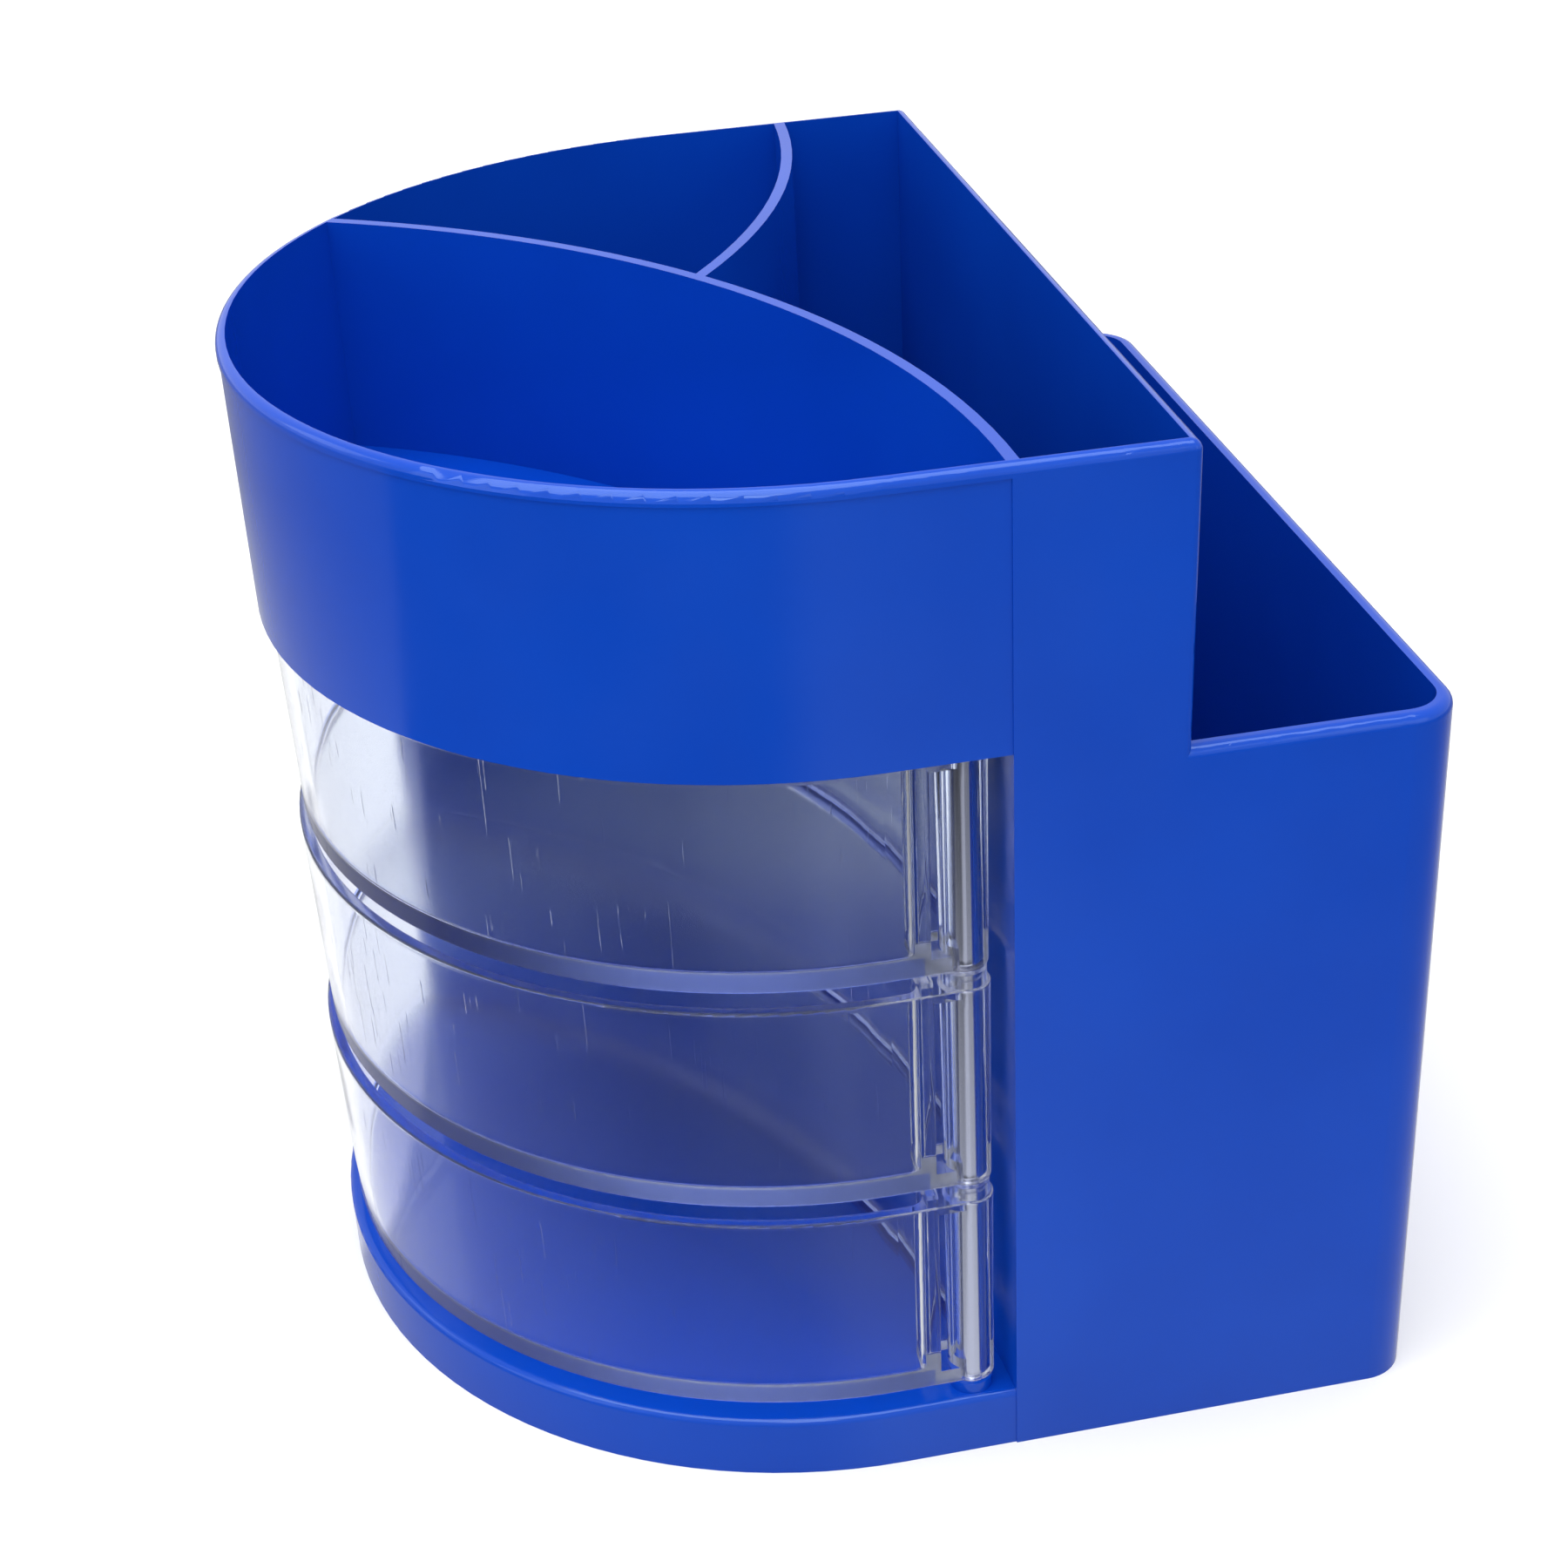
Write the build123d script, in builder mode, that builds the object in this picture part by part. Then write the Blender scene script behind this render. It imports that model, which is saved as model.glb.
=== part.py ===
from build123d import *
from math import radians, sqrt, tan
import os

os.makedirs("parts", exist_ok=True)

# Pen holder with two deep cups, a shallow front cup and a rear tray in one moulding.
# Three clear crescent drawers swing out on one upright steel rod below the front cup.
# All sizes are millimetres. +Z is up, -Y is the bowed front, +X is the hinge side.
# The origin is on the table, under the middle of the overall width and depth.

# Overall form
height = 125.0
body_width = 121.6
side_length = 32.9
tray_depth = 30.5
tray_height = 90.6
tray_corner = 6.2
cup_corner = 0.8
outer_draft = 0.5

# Walls of the cups and the tray
rim_wall = 1.2
rim_round = 1.1
tray_wall = 1.8
tray_round = 1.2
tray_lap = 4.0
cup_draft = 0.5
tray_draft = 0.5
front_cup_draft = 1.0

# Dividers between the cups, both of them arcs in plan
divider_wall = 1.4
front_divider_radius = 113.35
front_divider_setback = 19.15
rear_divider_radius = 105.6
rear_divider_setback = 17.3
rear_divider_lead = 6.1

# Base plate and its hollow underside
base_height = 7.8
base_plate = 2.2
base_round = 0.8
skirt_wall = 1.8

# Drawer bay and the band above it
bay_height = 85.0
bay_setback = 0.35
front_cup_floor = 1.4
band_lip = 1.2
band_step = 0.2
band_step_drop = 1.5

# Swing drawers
drawer_lift = 1.7
drawer_gap = 2.0
drawer_head = 0.4
drawer_reveal = 1.7
drawer_wall = 1.3
drawer_floor = 2.2
drawer_draft = 1.7
drawer_tip_round = 3.0
drawer_corner = 1.5
drawer_floor_round = 0.5
drawer_foot_round = 0.4
drawer_edge = 0.3

# Hinge barrels on the drawers
barrel_radius = 2.9
barrel_proud = 0.1
hinge_blend = 0.3
barrel_foot_radius = 2.7
barrel_foot_round = 0.7
neck_radius = 2.5
stack_gap = 0.3
hinge_web = 1.2
notch_gap = 1.15
notch_depth = 4.4
notch_roof = 1.0
lug_length = 2.6

# Hinge rod and its seats in the body
rod_radius = 1.2
rod_clearance = 0.05
rod_chamfer = 0.3
rod_seat = 0.9
rod_end_gap = 0.1
foot_boss_radius = 2.5
rod_boss_wall = 1.8
rod_boss_clear = 1.0

# Places that follow from the sizes above
half_width = body_width / 2
cup_back = (half_width + side_length - tray_depth) / 2
bow_center = cup_back - side_length
drawer_height = (bay_height - drawer_lift - drawer_head - 2 * drawer_gap) / 3
drawer_pitch = drawer_height + drawer_gap
drawer_bottom_z = base_height + drawer_lift
drawer_floor_z = drawer_bottom_z + drawer_floor
drawer_depth = drawer_height - drawer_floor
drawer_taper = drawer_depth * tan(radians(drawer_draft))
bay_top = base_height + bay_height
cup_depth = height - base_height
cup_taper = cup_depth * tan(radians(cup_draft))
ceiling = bay_top + drawer_gap - drawer_head
front_cup_depth = height - ceiling - front_cup_floor
front_cup_taper = front_cup_depth * tan(radians(front_cup_draft))
front_center_x = half_width
front_center_y = cup_back - front_divider_setback - front_divider_radius
rear_center_x = -half_width - rear_divider_lead
rear_divider_rise = sqrt(rear_divider_radius**2 - rear_divider_lead**2)
rear_center_y = cup_back - rear_divider_setback - rear_divider_rise
bay_radius = front_divider_radius - divider_wall / 2 + bay_setback
drawer_back_radius = bay_radius - drawer_reveal
hinge_x = half_width - drawer_reveal - barrel_radius + barrel_proud
hinge_reach = drawer_back_radius - barrel_radius + barrel_proud
hinge_y = front_center_y + sqrt(hinge_reach**2 - (front_center_x - hinge_x) ** 2)


def shrink(z):
    """How far the drafted outer wall stands inside the rim outline at height z."""
    return (height - z) * tan(radians(outer_draft))


def bow_outline(inset, back):
    """Plan outline with a half-round bow, straight sides and a straight back at y = back."""
    half = half_width - inset
    with BuildLine() as outline:
        CenterArc((0, bow_center), half, 180, 180)
        Line((half, bow_center), (half, back))
        Line((half, back), (-half, back))
        Line((-half, back), (-half, bow_center))
    return outline.line


# Skin of the bow between the two ends of the bay, where the band and the base stand back a little
with BuildPart() as front_skin:
    with BuildSketch() as skin_reach:
        with Locations((front_center_x, front_center_y)):
            Circle(bay_radius)
    extrude(amount=height - band_step_drop)
    with BuildSketch(Plane.XY.offset(height)) as skin_core:
        add(bow_outline(band_step, cup_back))
        make_face()
    extrude(amount=-height, taper=outer_draft, mode=Mode.SUBTRACT)

# Hollow of the left cup, between the two dividers
with BuildPart() as left_cup:
    with BuildSketch(Plane.XY.offset(height)):
        add(bow_outline(rim_wall, cup_back - rim_wall))
        make_face()
    extrude(amount=-cup_depth, taper=cup_draft)
    with Locations((rear_center_x, rear_center_y, base_height)):
        Cone(
            rear_divider_radius - divider_wall / 2 - cup_taper,
            rear_divider_radius - divider_wall / 2,
            cup_depth,
            align=(Align.CENTER, Align.CENTER, Align.MIN),
            mode=Mode.INTERSECT,
        )
    with Locations((front_center_x, front_center_y, base_height)):
        Cone(
            front_divider_radius + divider_wall / 2 + cup_taper,
            front_divider_radius + divider_wall / 2,
            cup_depth,
            align=(Align.CENTER, Align.CENTER, Align.MIN),
            mode=Mode.SUBTRACT,
        )

# Hollow of the rear cup, behind both dividers
with BuildPart() as rear_cup:
    with BuildSketch(Plane.XY.offset(height)):
        add(bow_outline(rim_wall, cup_back - rim_wall))
        make_face()
    extrude(amount=-cup_depth, taper=cup_draft)
    with Locations((rear_center_x, rear_center_y, base_height)):
        Cone(
            rear_divider_radius + divider_wall / 2 + cup_taper,
            rear_divider_radius + divider_wall / 2,
            cup_depth,
            align=(Align.CENTER, Align.CENTER, Align.MIN),
            mode=Mode.SUBTRACT,
        )
    with Locations((front_center_x, front_center_y, base_height)):
        Cone(
            front_divider_radius + divider_wall / 2 + cup_taper,
            front_divider_radius + divider_wall / 2,
            cup_depth,
            align=(Align.CENTER, Align.CENTER, Align.MIN),
            mode=Mode.SUBTRACT,
        )

# Hollow of the shallow front cup, before the front divider and above the drawers
with BuildPart() as front_cup:
    with BuildSketch(Plane.XY.offset(height)):
        add(bow_outline(rim_wall, cup_back - rim_wall))
        make_face()
    extrude(amount=-front_cup_depth, taper=front_cup_draft)
    with Locations((front_center_x, front_center_y, height - front_cup_depth)):
        Cone(
            front_divider_radius - divider_wall / 2 - front_cup_taper,
            front_divider_radius - divider_wall / 2,
            front_cup_depth,
            align=(Align.CENTER, Align.CENTER, Align.MIN),
            mode=Mode.INTERSECT,
        )

# Tray block behind the cups, with the rounded rim of the tray
with BuildPart() as tray_block:
    with BuildSketch(Plane.XY.offset(tray_height)) as tray_plan:
        with Locations((0, cup_back - tray_lap)):
            Rectangle(
                2 * (half_width - shrink(tray_height)),
                tray_depth + tray_lap,
                align=(Align.CENTER, Align.MIN),
            )
        fillet(tray_plan.vertices().group_by(Axis.Y)[-1], tray_corner)
    extrude(amount=-tray_height, taper=outer_draft)
    tray_rim = tray_block.faces().sort_by(Axis.Z)[-1].edges()
    fillet(tray_rim.filter_by(lambda edge: edge.center().Y > cup_back), tray_round)

# Body moulding: cups, tray, divider walls, bay ceiling and base plate in one piece
with BuildPart() as body:
    # Solid block of the cups, drafted inwards towards the table
    with BuildSketch(Plane.XY.offset(height)) as cup_plan:
        add(bow_outline(0, cup_back))
        make_face()
    extrude(amount=-height, taper=outer_draft)

    # Upright back corners and rounded rim of the cup block
    upright_edges = body.edges().filter_by(lambda edge: abs(edge.tangent_at(0.5).Z) > 0.9)
    fillet(upright_edges.filter_by(lambda edge: edge.center().Y > bow_center + side_length / 2), cup_corner)
    fillet(body.faces().sort_by(Axis.Z)[-1].edges(), rim_round)

    # The band and the base stand back from the side panels
    add(front_skin.part, mode=Mode.SUBTRACT)

    # Rear tray, as deep as the base plate allows
    add(tray_block.part)
    with BuildSketch(Plane.XY.offset(tray_height)) as tray_mouth:
        with Locations((0, cup_back - shrink(tray_height))):
            Rectangle(
                2 * (half_width - shrink(tray_height) - tray_wall),
                tray_depth + shrink(tray_height) - tray_wall,
                align=(Align.CENTER, Align.MIN),
            )
        fillet(tray_mouth.vertices().group_by(Axis.Y)[-1], tray_corner - tray_wall)
    extrude(amount=-(tray_height - base_height), taper=tray_draft, mode=Mode.SUBTRACT)

    # Deep cups on both sides of the rear divider, and the shallow front cup
    add(left_cup.part, mode=Mode.SUBTRACT)
    add(rear_cup.part, mode=Mode.SUBTRACT)
    add(front_cup.part, mode=Mode.SUBTRACT)

    # Drawer bay, open at the front, with its back wall following the front divider
    with BuildSketch(Plane.XY.offset(base_height)) as bay:
        with Locations((front_center_x, front_center_y)):
            Circle(bay_radius)
    extrude(amount=bay_height, mode=Mode.SUBTRACT)

    # The ceiling of the bay is higher than the lower edge of the band, which hides the top drawer's rim
    with BuildSketch(Plane.XY.offset(bay_top)) as ceiling_recess:
        add(bow_outline(shrink(bay_top) + band_step + band_lip, cup_back))
        make_face()
        with Locations((front_center_x, front_center_y)):
            Circle(bay_radius, mode=Mode.INTERSECT)
    extrude(amount=ceiling - bay_top, mode=Mode.SUBTRACT)

    # Rounded front edge of the base
    base_faces = body.faces().filter_by(lambda face: abs(face.center().Z - base_height) < base_round)
    bay_floor = base_faces.sort_by(Axis.Y)[0]
    fillet(bay_floor.edges().filter_by(GeomType.CIRCLE, reverse=True), base_round)

    # Hollow underside inside the standing rim
    foot_back = cup_back + tray_depth - shrink(0) + shrink(tray_height)
    with BuildSketch(Plane.XY) as underside:
        add(bow_outline(shrink(0) + skirt_wall, foot_back - skirt_wall))
        make_face()
        fillet(underside.vertices().group_by(Axis.Y)[-1], tray_corner - skirt_wall)
    extrude(amount=base_height - base_plate, taper=cup_draft, mode=Mode.SUBTRACT)

    # Seats of the hinge rod: a boss under the lowest drawer, a boss below the base and a blind hole above
    with BuildSketch(Plane.XY.offset(base_height)) as foot_boss:
        with Locations((hinge_x, hinge_y)):
            Circle(foot_boss_radius)
    extrude(amount=drawer_lift - stack_gap)
    with BuildSketch(Plane.XY.offset(rod_boss_clear)) as rod_boss:
        with Locations((hinge_x, hinge_y)):
            Circle(rod_radius + rod_boss_wall)
    extrude(amount=base_height - base_plate - rod_boss_clear)
    with BuildSketch(Plane.XY.offset(rod_boss_clear)) as rod_hole:
        with Locations((hinge_x, hinge_y)):
            Circle(rod_radius)
    extrude(amount=ceiling + rod_seat - rod_boss_clear, mode=Mode.SUBTRACT)

body.part.label = "organizer_body"
export_step(body.part, "parts/organizer_body.step")

# Hinge barrel of a drawer: a slightly tapered tube with a rounded foot and a neck that carries the next drawer
with BuildPart() as barrel:
    with Locations((hinge_x, hinge_y, drawer_bottom_z)):
        Cone(
            barrel_foot_radius,
            barrel_radius,
            drawer_height,
            align=(Align.CENTER, Align.CENTER, Align.MIN),
        )
    fillet(barrel.edges().group_by(Axis.Z)[0], barrel_foot_round)
    fillet(barrel.edges().group_by(Axis.Z)[-1], drawer_edge)
    with Locations((hinge_x, hinge_y, drawer_bottom_z + drawer_height)):
        Cylinder(neck_radius, drawer_gap - stack_gap, align=(Align.CENTER, Align.CENTER, Align.MIN))

# Hollow of a drawer, stepped round the hinge corner, with rounded corners and a rounded floor
with BuildPart() as drawer_hollow:
    with Locations((0, bow_center, drawer_floor_z)):
        Cone(
            half_width - drawer_reveal - drawer_wall - drawer_taper,
            half_width - drawer_reveal - drawer_wall,
            drawer_depth,
            align=(Align.CENTER, Align.CENTER, Align.MIN),
        )
    with Locations((front_center_x, front_center_y, drawer_floor_z)):
        Cone(
            drawer_back_radius - drawer_wall - drawer_taper,
            drawer_back_radius - drawer_wall,
            drawer_depth,
            align=(Align.CENTER, Align.CENTER, Align.MIN),
            mode=Mode.INTERSECT,
        )
    with BuildSketch(Plane.XY.offset(drawer_floor_z)) as hinge_corner:
        with Locations((hinge_x - barrel_radius - hinge_web, hinge_y - barrel_radius - notch_gap - drawer_wall)):
            Rectangle(body_width, body_width, align=(Align.MIN, Align.MIN))
    extrude(amount=drawer_depth, mode=Mode.SUBTRACT)
    fillet(drawer_hollow.edges().filter_by(lambda edge: abs(edge.tangent_at(0.5).Z) > 0.9), drawer_corner)
    fillet(drawer_hollow.faces().sort_by(Axis.Z)[0].edges(), drawer_floor_round)

# Clear swing drawer, modelled at the lowest place: a crescent tray with the barrel at its right corner
with BuildPart() as drawer:
    # Outer form, drafted inwards towards its floor
    with BuildSketch(Plane.XY.offset(drawer_bottom_z + drawer_height)) as drawer_plan:
        add(bow_outline(drawer_reveal, cup_back))
        make_face()
        with Locations((front_center_x, front_center_y)):
            Circle(drawer_back_radius, mode=Mode.INTERSECT)
        fillet(drawer_plan.vertices().sort_by(Axis.X)[0], drawer_tip_round)
        fillet(drawer_plan.vertices().sort_by(Axis.Y)[-1], barrel_radius + hinge_blend)
    extrude(amount=-drawer_height, taper=drawer_draft)
    fillet(drawer.edges().group_by(Axis.Z)[0], drawer_foot_round)
    fillet(drawer.edges().group_by(Axis.Z)[-1], drawer_edge)

    add(drawer_hollow.part, mode=Mode.SUBTRACT)

    # Slot between the end of the front wall and the barrel, closed below by the floor and above by the rim
    with BuildSketch(Plane.XY.offset(drawer_floor_z)) as notch:
        with Locations((hinge_x + barrel_radius - notch_depth, hinge_y - barrel_radius - notch_gap)):
            Rectangle(body_width, barrel_radius + notch_gap, align=(Align.MIN, Align.MIN))
    extrude(amount=drawer_depth - notch_roof, mode=Mode.SUBTRACT)

    # Barrel, with the bore for the rod through its whole height
    add(barrel.part)
    with BuildSketch(Plane.XY.offset(drawer_bottom_z)) as bore:
        with Locations((hinge_x, hinge_y)):
            Circle(rod_radius + rod_clearance)
    extrude(amount=drawer_height + drawer_gap, mode=Mode.SUBTRACT)

# Spacer lug on the rim beside the barrel, as high as the barrel's neck
with BuildPart() as lug:
    with BuildSketch(Plane.XY.offset(drawer_bottom_z + drawer_height - drawer_edge)) as lug_plan:
        with Locations((hinge_x + neck_radius, hinge_y - barrel_radius - notch_gap)):
            Rectangle(lug_length, drawer_wall, align=(Align.MAX, Align.MAX))
    extrude(amount=drawer_edge + drawer_gap - stack_gap)

# Lowest drawer
with BuildPart() as drawer_bottom:
    add(drawer.part)
    add(lug.part)
drawer_bottom.part.label = "drawer_bottom"
export_step(drawer_bottom.part, "parts/drawer_bottom.step")

# Middle drawer, one pitch higher
with BuildPart() as drawer_middle:
    with Locations((0, 0, drawer_pitch)):
        add(drawer.part)
        add(lug.part)
drawer_middle.part.label = "drawer_middle"
export_step(drawer_middle.part, "parts/drawer_middle.step")

# Top drawer, without the lug, which would strike the band above it
with BuildPart() as drawer_top:
    with Locations((0, 0, 2 * drawer_pitch)):
        add(drawer.part)
drawer_top.part.label = "drawer_top"
export_step(drawer_top.part, "parts/drawer_top.step")

# Steel hinge rod, pressed up through the base and all three barrels into the ceiling of the bay
with BuildPart() as hinge_rod:
    with Locations((hinge_x, hinge_y, rod_boss_clear)):
        Cylinder(
            rod_radius,
            ceiling + rod_seat - rod_end_gap - rod_boss_clear,
            align=(Align.CENTER, Align.CENTER, Align.MIN),
        )
    chamfer(hinge_rod.edges(), rod_chamfer)
hinge_rod.part.label = "hinge_rod"
export_step(hinge_rod.part, "parts/hinge_rod.step")
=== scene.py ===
import math

import bmesh
import bpy
from mathutils import Euler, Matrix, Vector

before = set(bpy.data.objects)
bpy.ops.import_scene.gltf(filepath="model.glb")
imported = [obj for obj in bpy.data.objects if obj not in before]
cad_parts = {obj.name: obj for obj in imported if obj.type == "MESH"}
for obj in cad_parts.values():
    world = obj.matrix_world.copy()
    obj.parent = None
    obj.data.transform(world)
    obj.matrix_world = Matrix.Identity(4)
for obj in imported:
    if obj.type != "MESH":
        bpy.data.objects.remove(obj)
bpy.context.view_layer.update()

# Body moulding: cups, tray, drawer bay and base in one piece of blue polystyrene, dyed in the mass.
# It left a polished mould, so it is glossy, with a faint waviness where the thin walls shrank
# and a gloss that handling has made a little uneven.


def linear(hex_colour):
    """A colour written as sRGB hex, as Blender's linear RGBA."""
    channels = [int(hex_colour[i : i + 2], 16) / 255 for i in (1, 3, 5)]
    return [c / 12.92 if c <= 0.04045 else ((c + 0.055) / 1.055) ** 2.4 for c in channels] + [1.0]


def add_node(tree, kind, inputs=None, **settings):
    """One shader node, with its settings and with its inputs set to values or linked to other sockets."""
    node = tree.nodes.new(kind)
    for name, value in settings.items():
        setattr(node, name, value)
    for name, value in (inputs or {}).items():
        if isinstance(value, bpy.types.NodeSocket):
            tree.links.new(value, node.inputs[name])
        else:
            node.inputs[name].default_value = value
    return node


blue = bpy.data.materials.new("blue_polystyrene_moulded_glossy")
blue.use_nodes = True
tree = blue.node_tree
tree.nodes.clear()
place = add_node(tree, "ShaderNodeTexCoord").outputs["Object"]
pigment_cloud = 0.030
pigment = add_node(tree, "ShaderNodeTexNoise", {"Vector": place, "Scale": 1 / pigment_cloud, "Detail": 2.0})
pigment_ramp = add_node(tree, "ShaderNodeValToRGB", {"Fac": pigment.outputs["Fac"]})
pigment_ramp.color_ramp.elements[0].position = 0.35
pigment_ramp.color_ramp.elements[0].color = linear("#0540B4")
pigment_ramp.color_ramp.elements[1].position = 0.65
pigment_ramp.color_ramp.elements[1].color = linear("#0644BA")
shrink_wave = 0.022
waves = add_node(tree, "ShaderNodeTexNoise", {"Vector": place, "Scale": 1 / shrink_wave, "Detail": 1.0})
wave_bump = add_node(
    tree, "ShaderNodeBump", {"Height": waves.outputs["Fac"], "Strength": 0.10, "Distance": 0.0006}
)
finger_mark = 0.012
handling = add_node(tree, "ShaderNodeTexNoise", {"Vector": place, "Scale": 1 / finger_mark, "Detail": 4.0})
handling_range = add_node(
    tree,
    "ShaderNodeMapRange",
    {"Value": handling.outputs["Fac"], "From Min": 0.3, "From Max": 0.7, "To Min": 0.10, "To Max": 0.16},
)
# Its specular tint paints the reflections azure, a painted colour in its highlights.
shell = add_node(
    tree,
    "ShaderNodeBsdfPrincipled",
    {
        "Base Color": pigment_ramp.outputs["Color"],
        "Roughness": handling_range.outputs["Result"],
        "IOR": 1.55,
        "Specular IOR Level": 0.35,
        "Specular Tint": linear("#D8F8FF"),
        "Normal": wave_bump.outputs["Normal"],
    },
)
add_node(tree, "ShaderNodeOutputMaterial", {"Surface": shell.outputs["BSDF"]})
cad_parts["organizer_body"].material_slots[0].material = blue

# Swing drawers: clear polystyrene, moulded with thin walls, stacked on one rod.
# The plastic is nearly colourless. Its walls are polished, with soft flow waves and a few hairline scratches,
# and its undersides, rims and wall feet are satin.
clear = bpy.data.materials.new("clear_polystyrene_moulded")
clear.use_nodes = True
tree = clear.node_tree
tree.nodes.clear()
place = add_node(tree, "ShaderNodeTexCoord").outputs["Object"]
flow_wave = 0.018
flow = add_node(tree, "ShaderNodeTexNoise", {"Vector": place, "Scale": 1 / flow_wave, "Detail": 1.0})
flow_bump = add_node(
    tree, "ShaderNodeBump", {"Height": flow.outputs["Fac"], "Strength": 0.15, "Distance": 0.0004}
)
# Hairline scratches run upwards, where fingers rub; 0.3 mm is coarser than real, so that they show.
scratch_width, scratch_length = 0.0003, 0.020
along = add_node(
    tree,
    "ShaderNodeMapping",
    {"Vector": place, "Scale": (1 / scratch_width, 1 / scratch_width, 1 / scratch_length)},
)
rubbed = add_node(
    tree, "ShaderNodeTexNoise", {"Vector": along.outputs["Vector"], "Scale": 1.0, "Detail": 0.0}
)
scratches = add_node(
    tree, "ShaderNodeMapRange", {"Value": rubbed.outputs["Fac"], "From Min": 0.805, "From Max": 0.845}
)
scratch_bump = add_node(
    tree,
    "ShaderNodeBump",
    {
        "Height": scratches.outputs["Result"],
        "Strength": 0.4,
        "Distance": 0.00005,
        "Normal": flow_bump.outputs["Normal"],
    },
)
# The satin parts are found by their height over the nearest drawer's underside, and in plan
# by their distance from the middles of the bow and of the back wall's arc.
bow_middle, front_skin = (0.0, -0.0013, 0.0), 0.0577
back_middle, back_skin = (0.0608, -0.1009, 0.0), 0.1083
below_first, floor_pitch = 0.0094, 0.0283
underside_top, foot_top, rim_bottom = 0.0003, 0.0027, 0.0257
upright = add_node(tree, "ShaderNodeSeparateXYZ", {0: place})
above_first = add_node(
    tree, "ShaderNodeMath", {0: upright.outputs["Z"], 1: below_first}, operation="SUBTRACT"
)
level = add_node(
    tree, "ShaderNodeMath", {0: above_first.outputs["Value"], 1: floor_pitch}, operation="FLOORED_MODULO"
)
underside = add_node(
    tree, "ShaderNodeMath", {0: level.outputs["Value"], 1: underside_top}, operation="LESS_THAN"
)
foot = add_node(tree, "ShaderNodeMath", {0: level.outputs["Value"], 1: foot_top}, operation="LESS_THAN")
rim = add_node(tree, "ShaderNodeMath", {0: level.outputs["Value"], 1: rim_bottom}, operation="GREATER_THAN")
in_plan = add_node(tree, "ShaderNodeVectorMath", {0: place, 1: (1.0, 1.0, 0.0)}, operation="MULTIPLY")
bow_radius = add_node(
    tree, "ShaderNodeVectorMath", {0: in_plan.outputs["Vector"], 1: bow_middle}, operation="DISTANCE"
)
back_radius = add_node(
    tree, "ShaderNodeVectorMath", {0: in_plan.outputs["Vector"], 1: back_middle}, operation="DISTANCE"
)
front = add_node(
    tree, "ShaderNodeMath", {0: bow_radius.outputs["Value"], 1: front_skin}, operation="GREATER_THAN"
)
back = add_node(
    tree, "ShaderNodeMath", {0: back_radius.outputs["Value"], 1: back_skin}, operation="GREATER_THAN"
)
outline = add_node(
    tree, "ShaderNodeMath", {0: front.outputs["Value"], 1: back.outputs["Value"]}, operation="MAXIMUM"
)
outer_foot = add_node(
    tree, "ShaderNodeMath", {0: foot.outputs["Value"], 1: outline.outputs["Value"]}, operation="MULTIPLY"
)
# The foot of the hinge corner is polished too.
rod_middle, corner_reach = (0.0563, 0.0075, 0.0), 0.0052
rod_distance = add_node(
    tree, "ShaderNodeVectorMath", {0: in_plan.outputs["Vector"], 1: rod_middle}, operation="DISTANCE"
)
off_corner = add_node(
    tree, "ShaderNodeMath", {0: rod_distance.outputs["Value"], 1: corner_reach}, operation="GREATER_THAN"
)
wall_foot = add_node(
    tree,
    "ShaderNodeMath",
    {0: outer_foot.outputs["Value"], 1: off_corner.outputs["Value"]},
    operation="MULTIPLY",
)
level_skin = add_node(
    tree, "ShaderNodeMath", {0: underside.outputs["Value"], 1: rim.outputs["Value"]}, operation="MAXIMUM"
)
satin_skin = add_node(
    tree,
    "ShaderNodeMath",
    {0: wall_foot.outputs["Value"], 1: level_skin.outputs["Value"]},
    operation="MAXIMUM",
)
satin = add_node(
    tree, "ShaderNodeMapRange", {"Value": satin_skin.outputs["Value"], "To Min": 0.02, "To Max": 0.18}
)
# The thick foot gathers the blue around it, so it is painted more lilac than the thin walls, a painted
# reflection of that blue, and painted darker at the back, painted shade.
foot_painted_blue_reflection = add_node(
    tree,
    "ShaderNodeMix",
    {0: back.outputs["Value"], 6: linear("#8098FF"), 7: linear("#7482C0")},
    data_type="RGBA",
)
tint_with_painted_foot_reflection = add_node(
    tree,
    "ShaderNodeMix",
    {0: wall_foot.outputs["Value"], 6: linear("#F1F4FA"), 7: foot_painted_blue_reflection.outputs[2]},
    data_type="RGBA",
)
# Its specular tint dims the reflections and paints them lilac, a painted colour in the reflections.
glass = add_node(
    tree,
    "ShaderNodeBsdfPrincipled",
    {
        "Base Color": tint_with_painted_foot_reflection.outputs[2],
        "Roughness": satin.outputs["Result"],
        "IOR": 1.59,
        "Specular Tint": linear("#8490BA"),
        "Transmission Weight": 1.0,
        "Normal": scratch_bump.outputs["Normal"],
    },
)
# Lamps shine through the plastic nearly unweakened, so what lies inside and below isn't in a hard shadow.
lamp_way = add_node(tree, "ShaderNodeBsdfTransparent", {"Color": linear("#FAFBFD")})
rays = add_node(tree, "ShaderNodeLightPath")
surface = add_node(
    tree,
    "ShaderNodeMixShader",
    {0: rays.outputs["Is Shadow Ray"], 1: glass.outputs["BSDF"], 2: lamp_way.outputs["BSDF"]},
)
add_node(tree, "ShaderNodeOutputMaterial", {"Surface": surface.outputs["Shader"]})
for name in ("drawer_top", "drawer_middle", "drawer_bottom"):
    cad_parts[name].material_slots[0].material = clear

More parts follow.
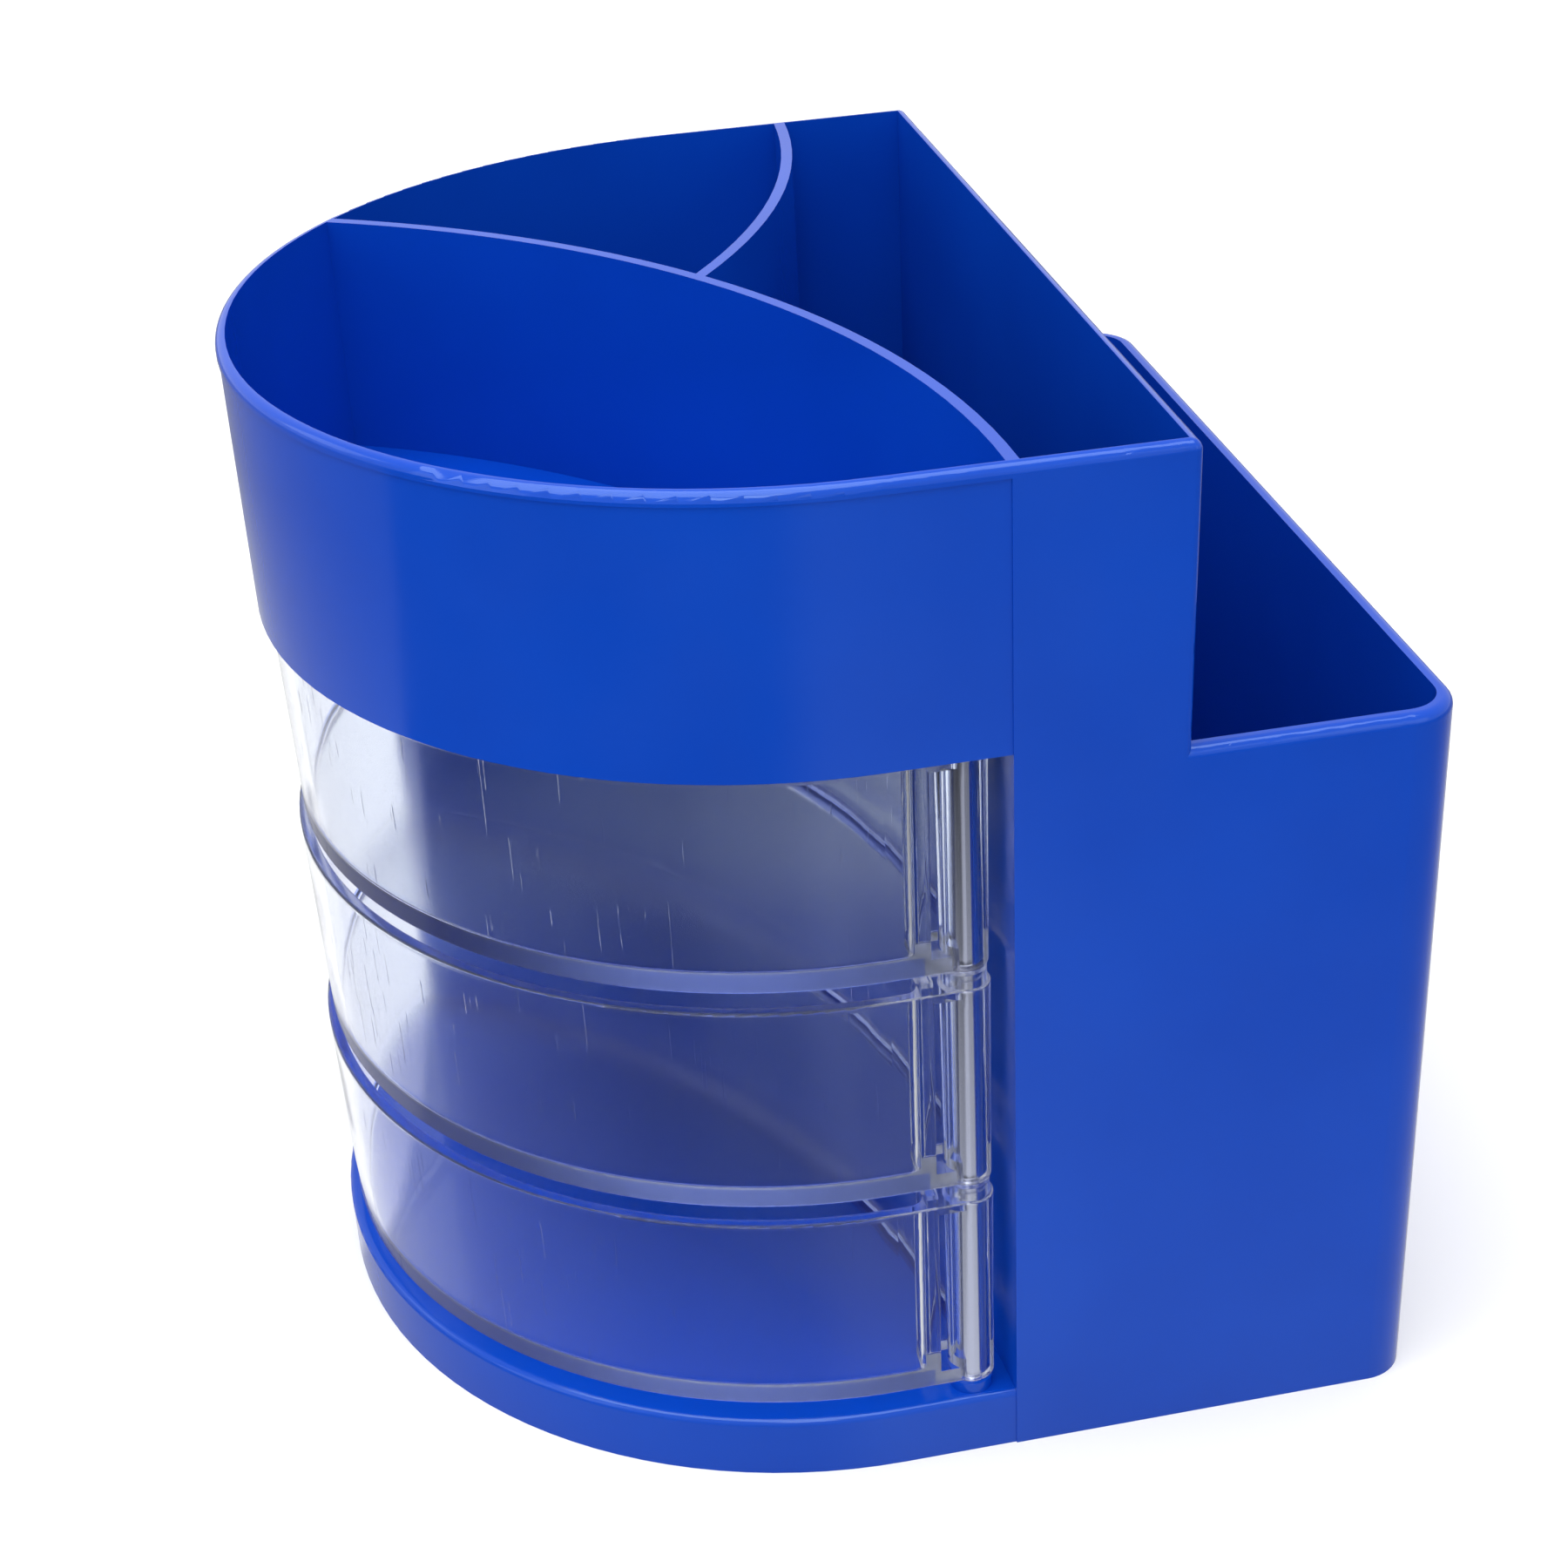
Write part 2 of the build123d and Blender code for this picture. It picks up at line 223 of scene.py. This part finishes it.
# Hinge rod: bright drawn steel wire, pressed up through the base and the three barrels.
# Drawing leaves fine lines along the wire, which stretch its highlights lengthwise;
# 0.3 mm is coarser than real, so that they show.
steel = bpy.data.materials.new("steel_wire_drawn")
steel.use_nodes = True
tree = steel.node_tree
tree.nodes.clear()
place = add_node(tree, "ShaderNodeTexCoord").outputs["Object"]
line_width, line_length = 0.0003, 0.050
stretched = add_node(
    tree,
    "ShaderNodeMapping",
    {"Vector": place, "Scale": (1 / line_width, 1 / line_width, 1 / line_length)},
)
lines = add_node(
    tree, "ShaderNodeTexNoise", {"Vector": stretched.outputs["Vector"], "Scale": 1.0, "Detail": 2.0}
)
line_gloss = add_node(
    tree,
    "ShaderNodeMapRange",
    {"Value": lines.outputs["Fac"], "From Min": 0.3, "From Max": 0.7, "To Min": 0.14, "To Max": 0.26},
)
wire = add_node(
    tree,
    "ShaderNodeBsdfPrincipled",
    {
        "Base Color": linear("#D4D5E4"),
        "Metallic": 1.0,
        "Roughness": line_gloss.outputs["Result"],
    },
)
add_node(tree, "ShaderNodeOutputMaterial", {"Surface": wire.outputs["BSDF"]})
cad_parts["hinge_rod"].material_slots[0].material = steel

# Table: a white seamless paper sheet that the object stands on, running off to the horizon.
# It is matt, and only its own face is lit white for the camera, so the object keeps a soft contact shadow.
sheet_size = 6.0
table_bm = bmesh.new()
bmesh.ops.create_grid(table_bm, x_segments=1, y_segments=1, size=sheet_size / 2)
table_mesh = bpy.data.meshes.new("table_sheet")
table_bm.to_mesh(table_mesh)
table_bm.free()
table = bpy.data.objects.new("table_sheet", table_mesh)
bpy.context.scene.collection.objects.link(table)
paper = bpy.data.materials.new("white_seamless_paper")
paper.use_nodes = True
tree = paper.node_tree
tree.nodes.clear()
matt = add_node(tree, "ShaderNodeBsdfDiffuse", {"Color": linear("#E6E6E6")})
place = add_node(tree, "ShaderNodeTexCoord").outputs["Object"]
reach = add_node(tree, "ShaderNodeVectorMath", {0: place}, operation="LENGTH")
# Mirrored, the sheet glows with a painted reflection, bright round the foot and falling off outwards, as if
# far from the lamps.
painted_reflection_fall_off = add_node(
    tree,
    "ShaderNodeMapRange",
    {"Value": reach.outputs["Value"], "From Min": 0.09, "From Max": 0.30, "To Min": 0.90, "To Max": 0.36},
)
# In front of the bow, out of the picture, a dark patch is painted into the sheet's reflection, between its
# straight left edge and a soft right end.
painted_dark_patch_level = add_node(
    tree,
    "ShaderNodeMapRange",
    {"Value": reach.outputs["Value"], "From Min": 0.075, "From Max": 0.20, "To Min": 0.60, "To Max": 0.07},
)
across = add_node(tree, "ShaderNodeSeparateXYZ", {0: place})
bearing = add_node(
    tree, "ShaderNodeMath", {0: across.outputs["Y"], 1: across.outputs["X"]}, operation="ARCTAN2"
)
left_edge = add_node(
    tree,
    "ShaderNodeMapRange",
    {"Value": bearing.outputs["Value"], "From Min": math.radians(-89), "From Max": math.radians(-86)},
)
right_end = add_node(
    tree,
    "ShaderNodeMapRange",
    {
        "Value": bearing.outputs["Value"],
        "From Min": math.radians(-13),
        "From Max": math.radians(0),
        "To Min": 1.0,
        "To Max": 0.0,
    },
    interpolation_type="SMOOTHSTEP",
)
painted_dark_patch = add_node(
    tree,
    "ShaderNodeMath",
    {0: left_edge.outputs["Result"], 1: right_end.outputs["Result"]},
    operation="MULTIPLY",
)
# Past the open strip beside the hinge, a painted grey veil dims the sheet's reflection again, without an
# edge.
painted_veil_start = add_node(
    tree,
    "ShaderNodeMapRange",
    {
        "Value": bearing.outputs["Value"],
        "From Min": math.radians(6),
        "From Max": math.radians(26),
        "To Max": 0.6,
    },
    interpolation_type="SMOOTHSTEP",
)
painted_veil_end = add_node(
    tree,
    "ShaderNodeMapRange",
    {
        "Value": bearing.outputs["Value"],
        "From Min": math.radians(60),
        "From Max": math.radians(110),
        "To Min": 1.0,
        "To Max": 0.0,
    },
    interpolation_type="SMOOTHSTEP",
)
painted_veil = add_node(
    tree,
    "ShaderNodeMath",
    {0: painted_veil_start.outputs["Result"], 1: painted_veil_end.outputs["Result"]},
    operation="MULTIPLY",
)
# Painted darkness in the reflection: the larger of the painted dark patch and the painted veil.
painted_dark_share = add_node(
    tree, "ShaderNodeMath", {0: painted_dark_patch.outputs["Value"], 1: painted_veil.outputs["Value"]}, operation="MAXIMUM"
)
# The sheet's painted reflection: an emission that only mirrors see, dimmed where the painted dark patch and
# veil lie.
painted_reflection_strength = add_node(
    tree,
    "ShaderNodeMix",
    {0: painted_dark_share.outputs["Value"], 2: painted_reflection_fall_off.outputs["Result"], 3: painted_dark_patch_level.outputs["Result"]},
)
painted_reflection = add_node(
    tree, "ShaderNodeEmission", {"Color": linear("#FFFFFF"), "Strength": painted_reflection_strength.outputs[0]}
)
# Through the clear drawers the sheet gets a painted glow, white behind the object up to the painted dark
# patch, falling off past the bow.
rays = add_node(tree, "ShaderNodeLightPath")
behind = add_node(
    tree,
    "ShaderNodeMapRange",
    {"Value": across.outputs["X"], "From Min": 0.0, "From Max": 0.03, "To Min": 1.0, "To Max": 0.0},
)
behind_off_painted_patch = add_node(
    tree,
    "ShaderNodeMath",
    {0: behind.outputs["Result"], 1: painted_dark_patch.outputs["Value"]},
    operation="SUBTRACT",
    use_clamp=True,
)
through = add_node(
    tree,
    "ShaderNodeMath",
    {0: rays.outputs["Is Transmission Ray"], 1: behind_off_painted_patch.outputs["Value"]},
    operation="MULTIPLY",
)
# Far from the lamps it needs more of a lift to stay white up to the horizon, and through the plastic it gets
# a further painted glow.
painted_plastic_glow = 0.18
far_lift = add_node(
    tree,
    "ShaderNodeMapRange",
    {"Value": reach.outputs["Value"], "From Min": 0.30, "From Max": 1.20, "To Min": 0.20, "To Max": 0.76},
)
painted_through_glow = add_node(
    tree, "ShaderNodeMath", {0: through.outputs["Value"], 1: painted_plastic_glow}, operation="MULTIPLY"
)
whole_lift = add_node(
    tree,
    "ShaderNodeMath",
    {0: far_lift.outputs["Result"], 1: painted_through_glow.outputs["Value"]},
    operation="ADD",
)
lift = add_node(
    tree, "ShaderNodeEmission", {"Color": linear("#FFFFFF"), "Strength": whole_lift.outputs["Value"]}
)
lifted = add_node(tree, "ShaderNodeAddShader", {0: matt.outputs["BSDF"], 1: lift.outputs["Emission"]})
seen = add_node(
    tree,
    "ShaderNodeMath",
    {0: rays.outputs["Is Camera Ray"], 1: through.outputs["Value"]},
    operation="MAXIMUM",
)
# A ray bent by the plastic counts as glossy too, so what is seen through it isn't taken as mirrored.
reflected = add_node(
    tree,
    "ShaderNodeMath",
    {0: rays.outputs["Is Glossy Ray"], 1: through.outputs["Value"]},
    operation="SUBTRACT",
    use_clamp=True,
)
direct = add_node(
    tree,
    "ShaderNodeMixShader",
    {0: seen.outputs["Value"], 1: matt.outputs["BSDF"], 2: lifted.outputs["Shader"]},
)
sheet = add_node(
    tree,
    "ShaderNodeMixShader",
    {0: reflected.outputs["Value"], 1: direct.outputs["Shader"], 2: painted_reflection.outputs["Emission"]},
)
add_node(tree, "ShaderNodeOutputMaterial", {"Surface": sheet.outputs["Shader"]})
table_mesh.materials.append(paper)

# Room: white wherever it is seen directly, in a mirror or through the clear drawers,
# and a plain grey as a light.
world = bpy.data.worlds.new("white_room")
bpy.context.scene.world = world
world.use_nodes = True
tree = world.node_tree
tree.nodes.clear()
rays = add_node(tree, "ShaderNodeLightPath")
seen_or_mirrored = add_node(
    tree,
    "ShaderNodeMath",
    {0: rays.outputs["Is Camera Ray"], 1: rays.outputs["Is Glossy Ray"]},
    operation="MAXIMUM",
)
seen = add_node(
    tree,
    "ShaderNodeMath",
    {0: seen_or_mirrored.outputs["Value"], 1: rays.outputs["Is Transmission Ray"]},
    operation="MAXIMUM",
)
strength = add_node(
    tree, "ShaderNodeMapRange", {"Value": seen.outputs["Value"], "To Min": 0.45, "To Max": 1.0}
)
room = add_node(
    tree, "ShaderNodeBackground", {"Color": linear("#FFFFFF"), "Strength": strength.outputs["Result"]}
)
add_node(tree, "ShaderNodeOutputWorld", {"Surface": room.outputs["Background"]})

# Lamps: a large soft box overhead, weaker ones on the bow's and the hinge's side,
# and two small ones that give the rims and edges their glints. All face the middle of the object.
object_middle = Vector((0.0, 0.0, 0.06))
for name, place, size, power in (
    ("softbox_overhead", (0.10, -0.10, 0.95), (0.9, 0.9), 10.5),
    ("softbox_bow_side", (0.35, -0.85, 0.45), (0.5, 0.7), 1.2),
    ("softbox_hinge_side", (0.80, 0.55, 0.50), (0.5, 0.5), 0.7),
    ("softbox_rim_glint", (-0.30, -0.75, 0.50), (0.35, 0.35), 0.5),
    ("softbox_above_camera", (0.60, -0.12, 0.62), (0.16, 0.16), 0.5),
):
    lamp_data = bpy.data.lights.new(name, "AREA")
    lamp_data.shape = "RECTANGLE"
    lamp_data.size, lamp_data.size_y = size
    lamp_data.energy = power
    lamp = bpy.data.objects.new(name, lamp_data)
    lamp.location = place
    aim = object_middle - Vector(place)
    lamp.rotation_euler = aim.to_track_quat("-Z", "Y").to_euler()
    bpy.context.scene.collection.objects.link(lamp)

# Camera: from the hinge side, a little above, with the angle and lens worked out from the photograph.
camera_data = bpy.data.cameras.new("photo_camera")
camera_data.sensor_width = 36.0
camera_data.lens = 65.87
camera = bpy.data.objects.new("photo_camera", camera_data)
camera.location = (0.308237, -0.057393, 0.233969)
camera.rotation_euler = Euler([math.radians(angle) for angle in (60.7929, 2.6164, 78.1202)])
bpy.context.scene.collection.objects.link(camera)
bpy.context.scene.camera = camera
bpy.context.scene.view_settings.view_transform = "Standard"

# The drawers' thick floors guide light by many inner reflections, so a path may bounce that often.
most_bounces = 32
bpy.context.scene.cycles.max_bounces = most_bounces
bpy.context.scene.cycles.glossy_bounces = most_bounces
bpy.context.scene.cycles.transmission_bounces = most_bounces
